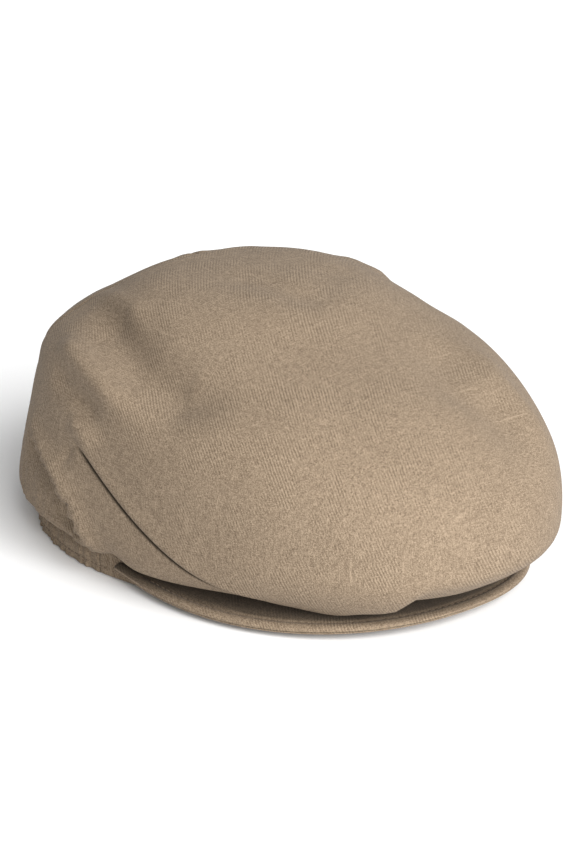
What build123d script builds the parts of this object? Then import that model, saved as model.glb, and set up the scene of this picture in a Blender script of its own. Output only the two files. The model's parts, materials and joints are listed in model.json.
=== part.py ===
"""A soft flat cap: a stitched fabric crown over a headband, with a stiff sprung peak.

Millimetres, +Z up, the peak towards -Y. The origin is the middle of the head opening, on the
surface that the cap stands on.
"""
from build123d import *
import math
import os

# ---- driving dimensions ----------------------------------------------------------------
HEAD_HALF_WIDTH = 87.0          # outside of the band, across the head
HEAD_HALF_LENGTH = 103.5        # outside of the band, front to back
BAND_HEIGHT = 15.0              # band height at the middle of the side
BAND_CLOTH = 1.0                # folded hem cloth of the band
STIFFENER = 1.0                 # buckram and elastic layer behind the band
LAYER_GAP = 0.1                 # air between sewn layers of the ring
SWEATBAND = 1.0
RING_LIFT = 0.8                 # inner layers of the ring stay this far off the ground
STIFFENER_TOP = 24.0
SWEATBAND_TOP = 28.0
GATHER_Y = -10.0                # behind this line the band is gathered over the elastic

CROWN_CLOTH = 1.2
CROSS_SEAM_TOP_Y = 28.0         # where the cross seam passes over the top of the crown
CROSS_SEAM_SWEEP = 42.0         # how much further back it has swept by the time it is low down
CROSS_SEAM_FALL = 28.0          # height over which most of that sweep happens
CROWN_TOP_Z = 119.0
TAPE = 0.5                      # seam tape thickness
TAPE_WIDTH = 12.0
LINING_CLOTH = 0.8
LINING_TOP_SEAM_Z = 86.0

# The crown's sections from the under edge to the top: the middle (y, z), the tilt that lifts
# the back, the half width, and the reach to the front and to the back.
CROWN_SECTIONS = (
    (-1.0, 15.0, 1.3, 91.0, 134.0, 105.0),
    (-1.0, 19.0, 2.2, 95.0, 142.0, 106.0),
    (-3.0, 29.0, 4.5, 99.0, 150.0, 108.0),
    (-6.0, 45.0, 6.0, 100.0, 156.0, 108.0),
    (-8.0, 68.0, 4.0, 97.5, 150.0, 103.0),
    (-5.0, 88.0, 1.0, 89.0, 124.0, 92.0),
    (-3.0, 105.0, 1.0, 69.0, 81.0, 63.0),
    (-1.5, 114.5, 0.0, 45.0, 51.0, 41.0),
    (-1.0, 119.0, 0.0, 20.0, 22.0, 18.0),
)
LINING_SECTIONS = (
    (0.0, 24.0, 0.0, 86.0, 102.4, 102.4),
    (0.0, 32.0, 0.0, 86.0, 103.0, 101.5),
    (-3.0, 50.0, 0.0, 86.0, 112.0, 98.0),
    (-5.0, 72.0, 0.0, 82.0, 106.0, 88.0),
    (-4.0, 90.0, 0.0, 69.0, 85.0, 71.0),
    (-3.0, 101.0, 0.0, 47.0, 56.0, 46.0),
    (-2.0, 106.0, 0.0, 22.0, 25.0, 20.0),
)

DART_SLOPE = 32.0               # degrees that a side dart climbs towards the back
DART_CROSS_SLOPE = 7.0          # degrees that the dart's plane climbs towards the side
DART_HEIGHT = 56.0              # height of the dart's plane above the origin
DART_TIP_Y = -10.0              # the dart dies out here

PEAK_HALF_WIDTH = 89.0
PEAK_MIDDLE_Y = -40.0           # widest place of the peak
PEAK_REACH = 106.0              # from there to the front edge
PEAK_TIP_Y = -24.0              # the crescent's blunt ends
PEAK_ARCH_RADIUS = 430.0
PEAK_SLOPE = 0.08               # rise per length towards the band
PEAK_FRONT_Z = 8.0              # upper surface at the middle of the front edge
PEAK_TOP_CLOTH = 0.9
PEAK_BOARD = 1.6
PEAK_UNDER_CLOTH = 0.7
PEAK_TURNED_EDGE = 1.2          # cloth turned down round the board
PEAK_SIDE_GAP = 0.6             # room between the band and the moving peak, at the sides
PEAK_FRONT_GAP = 3.0            # and at the middle, where it swings
PEAK_STITCH_INSET = 4.0
THREAD = 0.5

FAR = 400.0                     # larger than the cap, for cutting tools


# ---- shared shapes ---------------------------------------------------------------------
def section_wire(y, z, tilt, half_width, front, back):
    """An egg-shaped section: a front and a back half ellipse of one width, on a tilted plane."""
    lean = math.radians(tilt)
    plane = Plane(origin=(0, y, z), x_dir=(1, 0, 0), z_dir=(0, -math.sin(lean), math.cos(lean)))
    front_half = EllipticalCenterArc((0, 0), half_width, front, start_angle=180,
                                     arc_size=180)
    back_half = EllipticalCenterArc((0, 0), half_width, back, start_angle=0, arc_size=180)
    return plane.location * Wire([front_half.edge(), back_half.edge()])


def inset_section(sections, index, inset):
    """One section moved inwards, square to the side that its neighbours make."""
    y, z, tilt, half_width, front, back = sections[index]
    if index == 0:
        return y, z + inset, tilt, half_width - inset, front - inset, back - inset
    below = sections[index - 1]
    above = sections[min(index + 1, len(sections) - 1)]
    widening = above[3] - below[3]
    rise = above[1] - below[1]
    length = math.hypot(widening, rise)
    inwards = inset * rise / length
    return (y, z + inset * widening / length, tilt,
            half_width - inwards, front - inwards, back - inwards)


def dome(sections, inset=0.0):
    """A solid dome through the sections, moved inwards by the inset."""
    wires = [section_wire(*inset_section(sections, index, inset))
             for index in range(len(sections))]
    return Solid.make_loft(wires)


def oval_prism(half_width, half_length, bottom, top):
    """An upright elliptical prism about the head opening."""
    return extrude(Pos(0, 0, bottom) * Ellipse(half_width, half_length), top - bottom)


def oval_ring(depth, thickness, bottom, top):
    """A ring of the head opening's shape, starting at a depth inside the band's outer face."""
    outer = oval_prism(HEAD_HALF_WIDTH - depth, HEAD_HALF_LENGTH - depth, bottom, top)
    inner = oval_prism(HEAD_HALF_WIDTH - depth - thickness, HEAD_HALF_LENGTH - depth - thickness,
                       bottom - 1, top + 1)
    return outer - inner


def block(x_low, x_high, y_low, y_high, z_low, z_high):
    """A box given by its corners."""
    middle = ((x_low + x_high) / 2, (y_low + y_high) / 2, (z_low + z_high) / 2)
    return Pos(*middle) * Box(x_high - x_low, y_high - y_low, z_high - z_low)


def slab(plane, thickness):
    """A wide slab centred on a plane."""
    return plane.location * Box(2 * FAR, 2 * FAR, thickness)


# ---- crown -----------------------------------------------------------------------------
def above_under_side():
    """Everything above the crown's under side, which rises gently to the back."""
    y, z, tilt = CROWN_SECTIONS[0][:3]
    return Pos(0, y, z) * Rot(tilt, 0, 0) * Pos(0, 0, FAR / 2) * Box(2 * FAR, 2 * FAR, FAR)


def crown_shell():
    """The whole crown: a cloth dome with a turned-in under side round the band."""
    hole = oval_prism(HEAD_HALF_WIDTH - BAND_CLOTH, HEAD_HALF_LENGTH - BAND_CLOTH, 0, 30)
    return dome(CROWN_SECTIONS) - dome(CROWN_SECTIONS, CROWN_CLOTH) - hole


def cross_seam_y(height):
    """How far back the cross seam is at a height: over the top, then sweeping to the back."""
    below_top = CROWN_TOP_Z - height
    return CROSS_SEAM_TOP_Y + CROSS_SEAM_SWEEP * (1 - math.exp(-below_top / CROSS_SEAM_FALL))


def behind_cross_seam(shift=0.0):
    """Everything behind the cross seam, with the seam moved back by a shift."""
    heights = range(-10, 131, 20)
    seam = Spline(*[(cross_seam_y(height) + shift, height) for height in heights])
    top, bottom = seam @ 1, seam @ 0
    rest = Polyline((top.X, top.Y), (FAR, top.Y), (FAR, bottom.Y), (bottom.X, bottom.Y))
    profile = make_face([seam.edge()] + list(rest.edges()))
    across = Plane(origin=(0, 0, 0), x_dir=(0, 1, 0), z_dir=(1, 0, 0))
    return extrude(across.location * profile, FAR, both=True)


def crown_panels(shell):
    """The main panel over top, front and sides, and the two back panels."""
    back = shell & behind_cross_seam()
    return {
        "crown_main_panel": shell - behind_cross_seam(),
        "crown_back_left": back & block(0, FAR, -FAR, FAR, -FAR, FAR),
        "crown_back_right": back & block(-FAR, 0, -FAR, FAR, -FAR, FAR),
    }


def dart_plane(side):
    """The plane of a side dart: it climbs to the back and a little to the side."""
    return Plane(Pos(0, 0, DART_HEIGHT) * Rot(DART_SLOPE, -side * DART_CROSS_SLOPE, 0))


def seam_tapes():
    """Tapes that bind the crown's seams on the inside."""
    inside = dome(CROWN_SECTIONS, CROWN_CLOTH + LAYER_GAP)
    tape_skin = inside - dome(CROWN_SECTIONS, CROWN_CLOTH + LAYER_GAP + TAPE)
    above_ring = block(-FAR, FAR, -FAR, FAR, SWEATBAND_TOP + 6, FAR)
    half = TAPE_WIDTH / 2
    cross_zone = behind_cross_seam(-half) - behind_cross_seam(half)
    back_zone = block(-half, half, 0, FAR, -FAR, FAR) & behind_cross_seam(half + 0.2)
    tapes = {
        "cross_seam_tape": tape_skin & cross_zone & above_ring,
        "back_seam_tape": tape_skin & back_zone & above_ring,
    }
    above_under = block(-FAR, FAR, -FAR, FAR, CROWN_SECTIONS[1][1], FAR)
    for name, side in (("left", 1), ("right", -1)):
        reach = block(min(0, side * FAR), max(0, side * FAR), -86, DART_TIP_Y, -FAR, FAR)
        strip = slab(dart_plane(side), TAPE_WIDTH * 0.75)
        tapes["dart_tape_" + name] = tape_skin & strip & reach & above_under
    return tapes


# ---- ring ------------------------------------------------------------------------------
def ring_pieces():
    """Band, stiffener, elastic, sweatband and the tab over the sweatband's join."""
    band = oval_ring(0, BAND_CLOTH, 0, BAND_HEIGHT + 10) - above_under_side()
    second = BAND_CLOTH + LAYER_GAP
    backing = oval_ring(second, STIFFENER, RING_LIFT, STIFFENER_TOP)
    third = second + STIFFENER + LAYER_GAP
    sweat = oval_ring(third, SWEATBAND, RING_LIFT, SWEATBAND_TOP)
    fourth = third + SWEATBAND
    tab_zone = block(-6, 6, 0, FAR, 4, 26)
    front_zone = block(-FAR, FAR, -FAR, GATHER_Y, -FAR, FAR)
    rear_zone = block(-FAR, FAR, GATHER_Y, FAR, -FAR, FAR)
    return {
        "headband_front": band & front_zone,
        "headband_gathered": band & rear_zone,
        "headband_stiffener": backing & front_zone,
        "back_elastic": backing & rear_zone,
        "sweatband": sweat,
        "sweatband_join_tab": oval_ring(fourth, 0.8, 0, 30) & tab_zone,
    }


# ---- lining ----------------------------------------------------------------------------
def lining_pieces():
    """A lining of a top piece and two side pieces, with a blank label inside the back."""
    inside = dome(LINING_SECTIONS, LINING_CLOTH)
    clear = BAND_CLOTH + LAYER_GAP + STIFFENER
    room = oval_prism(HEAD_HALF_WIDTH - clear, HEAD_HALF_LENGTH - clear, 10, SWEATBAND_TOP + 1)
    shell = dome(LINING_SECTIONS) - inside - room
    label_skin = inside - dome(LINING_SECTIONS, LINING_CLOTH + 0.4)
    return {
        "lining_top": shell & block(-FAR, FAR, -FAR, FAR, LINING_TOP_SEAM_Z, FAR),
        "lining_side_left": shell & block(0, FAR, -FAR, FAR, -FAR, LINING_TOP_SEAM_Z),
        "lining_side_right": shell & block(-FAR, 0, -FAR, FAR, -FAR, LINING_TOP_SEAM_Z),
        "blank_label": label_skin & block(-22, 22, 40, FAR, 42, 60),
    }


# ---- peak ------------------------------------------------------------------------------
def peak_outline(inset):
    """The peak's crescent plan, moved in by the inset at its outer edge, as an upright prism."""
    half_width = PEAK_HALF_WIDTH - inset
    reach = PEAK_REACH - inset
    front = Pos(0, PEAK_MIDDLE_Y, -30) * extrude(Ellipse(half_width, reach), 80)
    front = front & block(-FAR, FAR, -FAR, PEAK_MIDDLE_Y, -FAR, FAR)
    sides = block(-half_width, half_width, PEAK_MIDDLE_Y, PEAK_TIP_Y, -30, 50)
    room = oval_prism(HEAD_HALF_WIDTH + PEAK_SIDE_GAP, HEAD_HALF_LENGTH + PEAK_FRONT_GAP, -40, 60)
    return front + sides - room


def peak_layer(top, bottom):
    """A layer of the arched peak between two depths under its upper surface."""
    length = math.hypot(1, PEAK_SLOPE)
    plane = Plane(origin=(0, PEAK_MIDDLE_Y - PEAK_REACH, PEAK_FRONT_Z), x_dir=(1, 0, 0),
                  z_dir=(0, 1 / length, PEAK_SLOPE / length))
    arch = Circle(PEAK_ARCH_RADIUS - top) - Circle(PEAK_ARCH_RADIUS - bottom)
    profile = (Pos(0, PEAK_ARCH_RADIUS) * arch) & (Pos(0, 10) * Rectangle(200, 60))
    return extrude(plane.location * Pos(0, 0, -10) * profile, 160)


def peak_pieces():
    """The board between its two covers, and the thread round the edge."""
    under_top = PEAK_TOP_CLOTH
    under_board = under_top + PEAK_BOARD
    whole = peak_outline(0)
    inner = peak_outline(PEAK_TURNED_EDGE)
    cover = peak_layer(0, under_top) & whole
    turned = peak_layer(under_top, under_board) & (whole - inner)
    thread_track = peak_outline(PEAK_STITCH_INSET) - peak_outline(PEAK_STITCH_INSET + THREAD)
    stitch_zone = block(-FAR, FAR, -FAR, PEAK_MIDDLE_Y, -FAR, FAR)
    return {
        "peak_top_cover": cover + turned,
        "peak_board": peak_layer(under_top, under_board) & inner,
        "peak_under_cover": peak_layer(under_board, under_board + PEAK_UNDER_CLOTH) & whole,
        "peak_edge_stitching": peak_layer(-THREAD / 2, 0) & thread_track & stitch_zone,
    }


# ---- thread ----------------------------------------------------------------------------
def ring_threads():
    """Rows of thread round the band, one along the hem and one under the crown."""
    rows = {}
    for name, height in (("hem_stitching", 3.0), ("band_top_stitching", 10.0)):
        row = oval_ring(-THREAD / 2, THREAD / 2, height, height + THREAD)
        rows[name] = row & block(-FAR, FAR, PEAK_TIP_Y + 6, FAR, -FAR, FAR)
    return rows


def build():
    """All the pieces by name."""
    pieces = {}
    pieces.update(crown_panels(crown_shell()))
    pieces.update(seam_tapes())
    pieces.update(ring_pieces())
    pieces.update(lining_pieces())
    pieces.update(ring_threads())
    pieces.update(peak_pieces())
    return pieces


os.makedirs("parts", exist_ok=True)
for node, shape in build().items():
    export_step(Compound(children=list(shape.solids())) if len(shape.solids()) > 1
                else shape.solids()[0], "parts/" + node + ".step")
    print(node, round(shape.volume, 1), "mm3")
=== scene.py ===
"""A soft flat cap in linen twill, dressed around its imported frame.

Lengths are metres, +Z up, the peak towards -Y, and +X is the wearer's left. Shapes are worked
out in millimetres where that reads better, and turned into metres by MM.
"""
import json
import logging
import math
from dataclasses import dataclass, field
from enum import Enum
from typing import Callable, Dict, Optional, Sequence, Tuple

import bmesh
import bpy
import numpy as np
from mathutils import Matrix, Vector

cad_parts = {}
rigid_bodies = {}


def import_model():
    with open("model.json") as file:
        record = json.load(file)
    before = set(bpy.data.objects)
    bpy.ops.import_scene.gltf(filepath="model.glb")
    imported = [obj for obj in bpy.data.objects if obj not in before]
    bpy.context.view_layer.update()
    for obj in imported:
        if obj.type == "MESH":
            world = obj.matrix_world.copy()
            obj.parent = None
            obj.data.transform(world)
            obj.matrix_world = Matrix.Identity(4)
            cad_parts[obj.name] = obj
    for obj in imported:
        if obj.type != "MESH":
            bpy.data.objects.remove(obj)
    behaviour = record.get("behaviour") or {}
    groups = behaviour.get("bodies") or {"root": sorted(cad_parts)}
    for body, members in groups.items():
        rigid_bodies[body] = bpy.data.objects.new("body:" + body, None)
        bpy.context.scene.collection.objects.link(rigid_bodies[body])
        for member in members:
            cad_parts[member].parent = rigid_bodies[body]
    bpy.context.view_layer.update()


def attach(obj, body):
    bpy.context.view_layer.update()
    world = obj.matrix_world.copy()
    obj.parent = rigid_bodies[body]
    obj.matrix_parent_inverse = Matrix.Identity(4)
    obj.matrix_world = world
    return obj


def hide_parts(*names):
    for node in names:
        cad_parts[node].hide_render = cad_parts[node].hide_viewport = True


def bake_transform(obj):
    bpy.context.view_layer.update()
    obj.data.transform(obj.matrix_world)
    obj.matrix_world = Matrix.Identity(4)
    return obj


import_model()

LOG = logging.getLogger("cap")
MM = 0.001
SEED = 7
BODY = "cap_body"
PEAK_BODY = "peak"

Point = Tuple[float, float, float]
Grid = np.ndarray


class Side(Enum):
    """The wearer's left and right, as the sign of X."""

    LEFT = 1
    RIGHT = -1


class Hold(Enum):
    """How a sheet of cloth is held in the cap."""

    STRETCHED = "stretched"
    GATHERED = "gathered"
    FOLDED = "folded"


# ---- small numeric helpers -------------------------------------------------------------
def smooth_step(low: float, high: float, value: np.ndarray) -> np.ndarray:
    """A soft rise from 0 at low to 1 at high."""
    t = np.clip((value - low) / (high - low), 0.0, 1.0)
    return t * t * (3.0 - 2.0 * t)


def hermite(keys: np.ndarray, rows: np.ndarray, at: np.ndarray, flat_end: bool) -> np.ndarray:
    """Smooth values through uneven keys.

    Args:
        keys: Rising key positions.
        rows: One row of values for each key.
        at: Where the values are wanted.
        flat_end: Whether the slope is a crest's at the last key, apart from the widths.

    Returns:
        One row of values for each position.
    """
    slope = np.zeros_like(rows)
    slope[1:-1] = (rows[2:] - rows[:-2]) / (keys[2:] - keys[:-2])[:, None]
    slope[0] = (rows[1] - rows[0]) / (keys[1] - keys[0])
    slope[-1] = (rows[-1] - rows[-2]) / (keys[-1] - keys[-2])
    if flat_end:
        slope[-1, 1] = 0.0
    i = np.clip(np.searchsorted(keys, at, side="right") - 1, 0, len(keys) - 2)
    step = keys[i + 1] - keys[i]
    s = ((at - keys[i]) / step)[:, None]
    step = step[:, None]
    return ((2 * s**3 - 3 * s**2 + 1) * rows[i] + (s**3 - 2 * s**2 + s) * step * slope[i]
            + (-2 * s**3 + 3 * s**2) * rows[i + 1] + (s**3 - s**2) * step * slope[i + 1])


def along_path(points: np.ndarray, path: Sequence[Point]) -> Tuple[np.ndarray, ...]:
    """Place points against a polyline.

    Args:
        points: Points in millimetres, one a row.
        path: The polyline's corners in millimetres.

    Returns:
        Distance to the line, share of the way along it, the nearest point and its direction.
    """
    corners = np.array(path, float)
    spans = np.diff(corners, axis=0)
    lengths = np.linalg.norm(spans, axis=1)
    starts = np.concatenate([[0.0], np.cumsum(lengths)])
    best = np.full(len(points), 1e9)
    share = np.zeros(len(points))
    nearest = np.zeros_like(points)
    heading = np.zeros_like(points)
    for k, span in enumerate(spans):
        t = np.clip((points - corners[k]) @ span / lengths[k] ** 2, 0.0, 1.0)
        foot = corners[k] + t[:, None] * span
        distance = np.linalg.norm(points - foot, axis=1)
        closer = distance < best
        best[closer] = distance[closer]
        share[closer] = (starts[k] + t[closer] * lengths[k]) / starts[-1]
        nearest[closer] = foot[closer]
        heading[closer] = span / lengths[k]
    return best, share, nearest, heading


# ---- folds -----------------------------------------------------------------------------
@dataclass(frozen=True)
class Fold:
    """A soft roll (height above 0) or valley (below 0) in the cloth, along a line, in mm."""

    path: Tuple[Point, ...]
    height: float
    width: float
    fade: float = 0.3

    def lift(self, points: np.ndarray, normals: np.ndarray) -> np.ndarray:
        """How far the fold moves each point along its normal."""
        distance, share, _, _ = along_path(points, self.path)
        ends = smooth_step(0.0, self.fade, share) * smooth_step(0.0, self.fade, 1.0 - share)
        if self.fade <= 0.0:
            ends = 1.0
        return self.height * np.exp(-((distance / self.width) ** 2)) * (0.15 + 0.85 * ends)


@dataclass(frozen=True)
class Overhang:
    """A rolled edge of cloth with the wall behind it set back, in mm."""

    path: Tuple[Point, ...]
    depth: float
    lip: float
    lip_width: float
    reach: float
    side: float

    def across(self, points: np.ndarray, normals: np.ndarray) -> Tuple[np.ndarray, ...]:
        """Signed distance behind the rolled edge, and how strong the overhang is there."""
        distance, share, nearest, heading = along_path(points, self.path)
        sideways = np.cross(heading, normals)
        signed = self.side * np.sum(sideways * (points - nearest), axis=1)
        signed = np.sign(signed) * distance
        ends = smooth_step(0.0, 0.18, share) * smooth_step(0.0, 0.05, 1.0 - share)
        ends = ends * smooth_step(12.5, 21.0, points[:, 2])
        return signed, ends

    def lift(self, points: np.ndarray, normals: np.ndarray) -> np.ndarray:
        """How far the overhang moves each point along its normal."""
        signed, ends = self.across(points, normals)
        behind = np.clip(signed, 0.0, None)
        set_back = (1.0 - np.exp(-((behind / 2.2) ** 2))) * np.exp(-((behind / self.reach) ** 2))
        roll = np.exp(-((signed / self.lip_width) ** 2)) * (signed <= 0) \
            + np.exp(-((signed / 1.6) ** 2)) * (signed > 0)
        return ends * (self.lip * roll - self.depth * set_back)

    def pocket(self, points: np.ndarray, normals: np.ndarray) -> np.ndarray:
        """How shaded each point is in the pocket behind the rolled edge, from 0 to 1."""
        signed, ends = self.across(points, normals)
        return ends * np.exp(-(((signed - 3.0) / 3.5) ** 2)) * smooth_step(-0.5, 1.5, signed)


# ---- the crown's form ------------------------------------------------------------------
@dataclass
class CrownForm:
    """The smooth form of the crown: egg-shaped sections on a rising, tilting spine (mm).

    Each station is its key, the middle y and z, the tilt in degrees, the half width, the reach
    to the front and to the back, and the squareness of the front and the back half.
    """

    stations: Tuple[Tuple[float, ...], ...] = (
        (0.08, 0.0, 11.0, 0.0, 86.8, 103.2, 103.6, 2.0, 2.0),
        (0.12, 0.0, 14.0, 0.6, 88.2, 110.0, 105.2, 2.0, 2.05),
        (0.16, -1.0, 13.4, 1.0, 91.5, 130.0, 107.5, 2.1, 2.15),
        (0.20, -1.0, 16.5, 2.0, 95.0, 140.0, 106.5, 2.2, 2.15),
        (0.28, -3.0, 29.0, 4.5, 98.2, 151.5, 104.5, 2.27, 2.03),
        (0.36, -6.0, 45.0, 6.0, 98.2, 158.0, 102.5, 2.27, 1.98),
        (0.50, -8.0, 68.0, 4.0, 95.0, 150.0, 98.5, 2.27, 1.98),
        (0.66, -5.0, 88.0, 1.0, 87.5, 121.5, 89.5, 2.15, 1.95),
        (0.82, -3.0, 106.0, 1.0, 65.0, 77.0, 57.0, 2.05, 1.9),
        (0.93, -1.0, 117.2, 0.0, 38.0, 43.0, 30.0, 2.1, 2.0),
        (1.00, -1.0, 119.6, 0.0, 0.0, 0.0, 0.0, 2.0, 2.0),
    )

    def surface(self, t: np.ndarray, u: np.ndarray) -> Grid:
        """Points of the form.

        Args:
            t: Keys from the band (0) to the top (1).
            u: Turns about the spine in radians, 0 at the front.

        Returns:
            An array of rows by turns by three, in millimetres.
        """
        table = np.array(self.stations)
        rows = hermite(table[:, 0], table[:, 1:], t, True)
        yc, zc, tilt, wide, front, back, square, rear_square = [
            rows[:, k][:, None] for k in range(8)]
        turn = u[None, :]
        ahead = np.cos(turn) > 0
        power = np.where(ahead, 2.0 / square, 2.0 / rear_square)
        x = wide * np.sign(np.sin(turn)) * np.abs(np.sin(turn)) ** power
        reach = np.where(ahead, -front, back) * np.abs(np.cos(turn)) ** power
        lean = np.radians(tilt)
        return np.stack([x, yc + reach * np.cos(lean), zc + reach * np.sin(lean)], -1)


@dataclass
class Seams:
    """Where the crown is sewn, in mm."""

    cross_top_y: float = 28.0
    cross_sweep: float = 42.0
    cross_fall: float = 28.0
    crown_top: float = 119.0
    dart_normal: Tuple[float, float, float] = (-0.265, -0.497, 0.826)
    dart_offset: float = 80.3
    dart_front_y: float = -98.9
    dart_tip_y: float = -9.6

    def cross_y(self, height: np.ndarray) -> np.ndarray:
        """How far back the cross seam is at a height."""
        below = self.crown_top - height
        return self.cross_top_y + self.cross_sweep * (1.0 - np.exp(-below / self.cross_fall))

    def dart_distance(self, points: np.ndarray, side: Side) -> np.ndarray:
        """Signed distance of points above a side's dart."""
        nx, ny, nz = self.dart_normal
        return (-side.value * nx * points[:, 0] + ny * points[:, 1] + nz * points[:, 2]
                - self.dart_offset)


GROOVE_CUTS = (-6.0, -3.4, -1.9, -1.1, -0.65, -0.3, 0.0, 0.3, 0.65, 1.1, 1.9, 3.4, 6.0)


def groove(distance: np.ndarray, depth: float, puff: float, step: float) -> np.ndarray:
    """The section of a sewn seam: a narrow groove between two puffed edges.

    Args:
        distance: Signed distance across the seam in mm.
        depth: Depth of the groove.
        puff: Height of the cloth's roll beside it.
        step: How much lower the cloth lies on the negative side.

    Returns:
        The lift of each point.
    """
    line = -depth * np.exp(-((distance / 0.7) ** 2))
    rolls = puff * np.exp(-(((np.abs(distance) - 4.0) / 3.2) ** 2))
    lower = -step * np.exp(-((distance / 7.0) ** 2)) * (distance < 0)
    return line + rolls + lower


def lapped(distance: np.ndarray, depth: float, puff: float, step: float) -> np.ndarray:
    """The section of a seam whose upper edge stands over the lower cloth.

    Args:
        distance: Signed distance across the seam in mm, above it positive.
        depth: Depth of the narrow groove.
        puff: Height of the upper edge's roll.
        step: How far the lower cloth lies back.

    Returns:
        The lift of each point.
    """
    line = -depth * np.exp(-((distance / 0.8) ** 2))
    roll = puff * np.exp(-(((distance - 3.2) / 2.6) ** 2))
    lower = -step * np.exp(-((distance / 13.0) ** 2)) * smooth_step(0.6, -1.6, distance)
    return line + roll + lower


@dataclass
class CrownCloth:
    """The crown's cloth: its mesh cut at the seams, its folds, and its panels."""

    form: CrownForm = field(default_factory=CrownForm)
    seams: Seams = field(default_factory=Seams)
    columns: int = 288
    rows: int = 92
    thickness: float = 0.9
    folds: Tuple[object, ...] = ()
    dart_section: Tuple[float, float, float] = (1.5, 0.5, 0.7)
    cross_section: Tuple[float, float, float] = (1.3, 0.5, 0.0)
    back_section: Tuple[float, float, float] = (1.2, 0.45, 0.0)
    # How wide and how dark the painted shade lies along the seams and the dart, and in the rim
    # pockets.
    seam_line: float = 0.7
    seam_shade: float = 0.7
    dart_line: float = 0.85
    dart_line_drop: float = 0.35
    pocket_shade: float = 0.5

    def base_grid(self) -> bmesh.types.BMesh:
        """The smooth form as a mesh in millimetres, closed at the top."""
        keys = np.concatenate([np.linspace(0.08, 0.30, 34, endpoint=False),
                               np.linspace(0.30, 0.985, self.rows - 34)])
        turns = np.linspace(0.0, 2.0 * math.pi, self.columns, endpoint=False)
        points = self.form.surface(keys, turns)
        mesh = bmesh.new()
        grid = [[mesh.verts.new(p) for p in row] for row in points]
        top = self.form.surface(np.array([1.0]), np.array([0.0]))[0, 0]
        crest = mesh.verts.new(top)
        for r in range(len(grid) - 1):
            for c in range(self.columns):
                n = (c + 1) % self.columns
                mesh.faces.new((grid[r][c], grid[r][n], grid[r + 1][n], grid[r + 1][c]))
        for c in range(self.columns):
            mesh.faces.new((grid[-1][c], grid[-1][(c + 1) % self.columns], crest))
        return mesh

    def cut(self, mesh: bmesh.types.BMesh, point: Point, normal: Point,
            keep: Callable[[Vector], bool]) -> None:
        """Cut the faces that keep() accepts along a plane."""
        faces = [f for f in mesh.faces if keep(f.calc_center_median())]
        geometry = list({e for f in faces for e in f.edges} | {v for f in faces for v in f.verts})
        bmesh.ops.bisect_plane(mesh, geom=geometry + faces, dist=1e-4, plane_co=point,
                               plane_no=normal)

    def cut_seams(self, mesh: bmesh.types.BMesh) -> None:
        """Give the mesh edges along every seam and beside it."""
        s = self.seams
        for offset in GROOVE_CUTS:
            for side in Side:
                nx, ny, nz = s.dart_normal
                normal = (-side.value * nx, ny, nz)
                place = tuple(n * (s.dart_offset + offset) for n in normal)
                self.cut(mesh, place, normal, lambda c, k=side.value: c.x * k > 40.0
                         and s.dart_front_y - 4 < c.y < s.dart_tip_y + 12 and c.z > 10.0)
        for vert in mesh.verts:
            vert.co.y -= float(s.cross_y(np.array(vert.co.z)))
        for offset in GROOVE_CUTS:
            self.cut(mesh, (0.0, offset, 0.0), (0.0, 1.0, 0.0), lambda c: c.z > 11.0)
        for offset in GROOVE_CUTS:
            self.cut(mesh, (offset, 0.0, 0.0), (1.0, 0.0, 0.0), lambda c: c.y > 0.0)
        for vert in mesh.verts:
            vert.co.y += float(s.cross_y(np.array(vert.co.z)))

    def by_dart(self, points: np.ndarray, side: Side) -> np.ndarray:
        """How far each point belongs to a side's dart, fading out at its tip."""
        s = self.seams
        return (smooth_step(s.dart_front_y - 6, s.dart_front_y + 4, points[:, 1])
                * smooth_step(0.0, 7.0, s.dart_tip_y + 1 - points[:, 1])
                * (points[:, 0] * side.value > 40.0) * smooth_step(9.0, 13.0, points[:, 2]))

    def painted_shade(self, points: np.ndarray, normals: np.ndarray) -> np.ndarray:
        """How much painted shade each point gets, from 0 to 1: along the seam and dart lines and in
        the pocket behind each rolled rim.
        """
        s = self.seams
        behind = points[:, 1] - s.cross_y(points[:, 2])
        shade = np.exp(-((behind / self.seam_line) ** 2))
        middle = np.exp(-((points[:, 0] / self.seam_line) ** 2)) * (behind > 0)
        shade = self.seam_shade * np.maximum(shade, middle)
        for side in Side:
            off = s.dart_distance(points, side) + self.dart_line_drop
            line = np.exp(-((off / self.dart_line) ** 4))
            shade = np.maximum(shade, self.by_dart(points, side) * line)
        for fold in self.folds:
            if isinstance(fold, Overhang):
                shade = np.maximum(shade, self.pocket_shade * fold.pocket(points, normals))
        return shade

    def lift(self, points: np.ndarray, normals: np.ndarray) -> np.ndarray:
        """The whole lift of the cloth off its smooth form, seams and folds together."""
        s = self.seams
        total = np.zeros(len(points))
        for fold in self.folds:
            total += fold.lift(points, normals)
        for side in Side:
            near = self.by_dart(points, side)
            total += near * lapped(s.dart_distance(points, side), *self.dart_section)
        behind = points[:, 1] - s.cross_y(points[:, 2])
        high = smooth_step(12.0, 20.0, points[:, 2])
        total += high * groove(behind, *self.cross_section)
        total += high * smooth_step(0.0, 3.0, behind) * groove(points[:, 0], *self.back_section)
        return total


def gather_lift(points: np.ndarray, strength: float) -> np.ndarray:
    """Small upright gathers round the back of the ring, drawn in by the elastic.

    Args:
        points: Points in millimetres.
        strength: Height of the deepest gathers in mm.

    Returns:
        The lift of each point.
    """
    turn = np.arctan2(points[:, 0], -points[:, 1])
    rng = np.random.default_rng(SEED)
    waves = np.zeros(len(points))
    for count in (41, 57, 73, 96, 131):
        waves += np.sin(turn * count + rng.uniform(0, 6.28)) * rng.uniform(0.5, 1.0)
    drift = np.sin(turn * 9 + 1.3) * 0.35 + 0.8
    rear = smooth_step(-22.0, 4.0, points[:, 1])
    return strength * rear * drift * waves / 3.0


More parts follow.
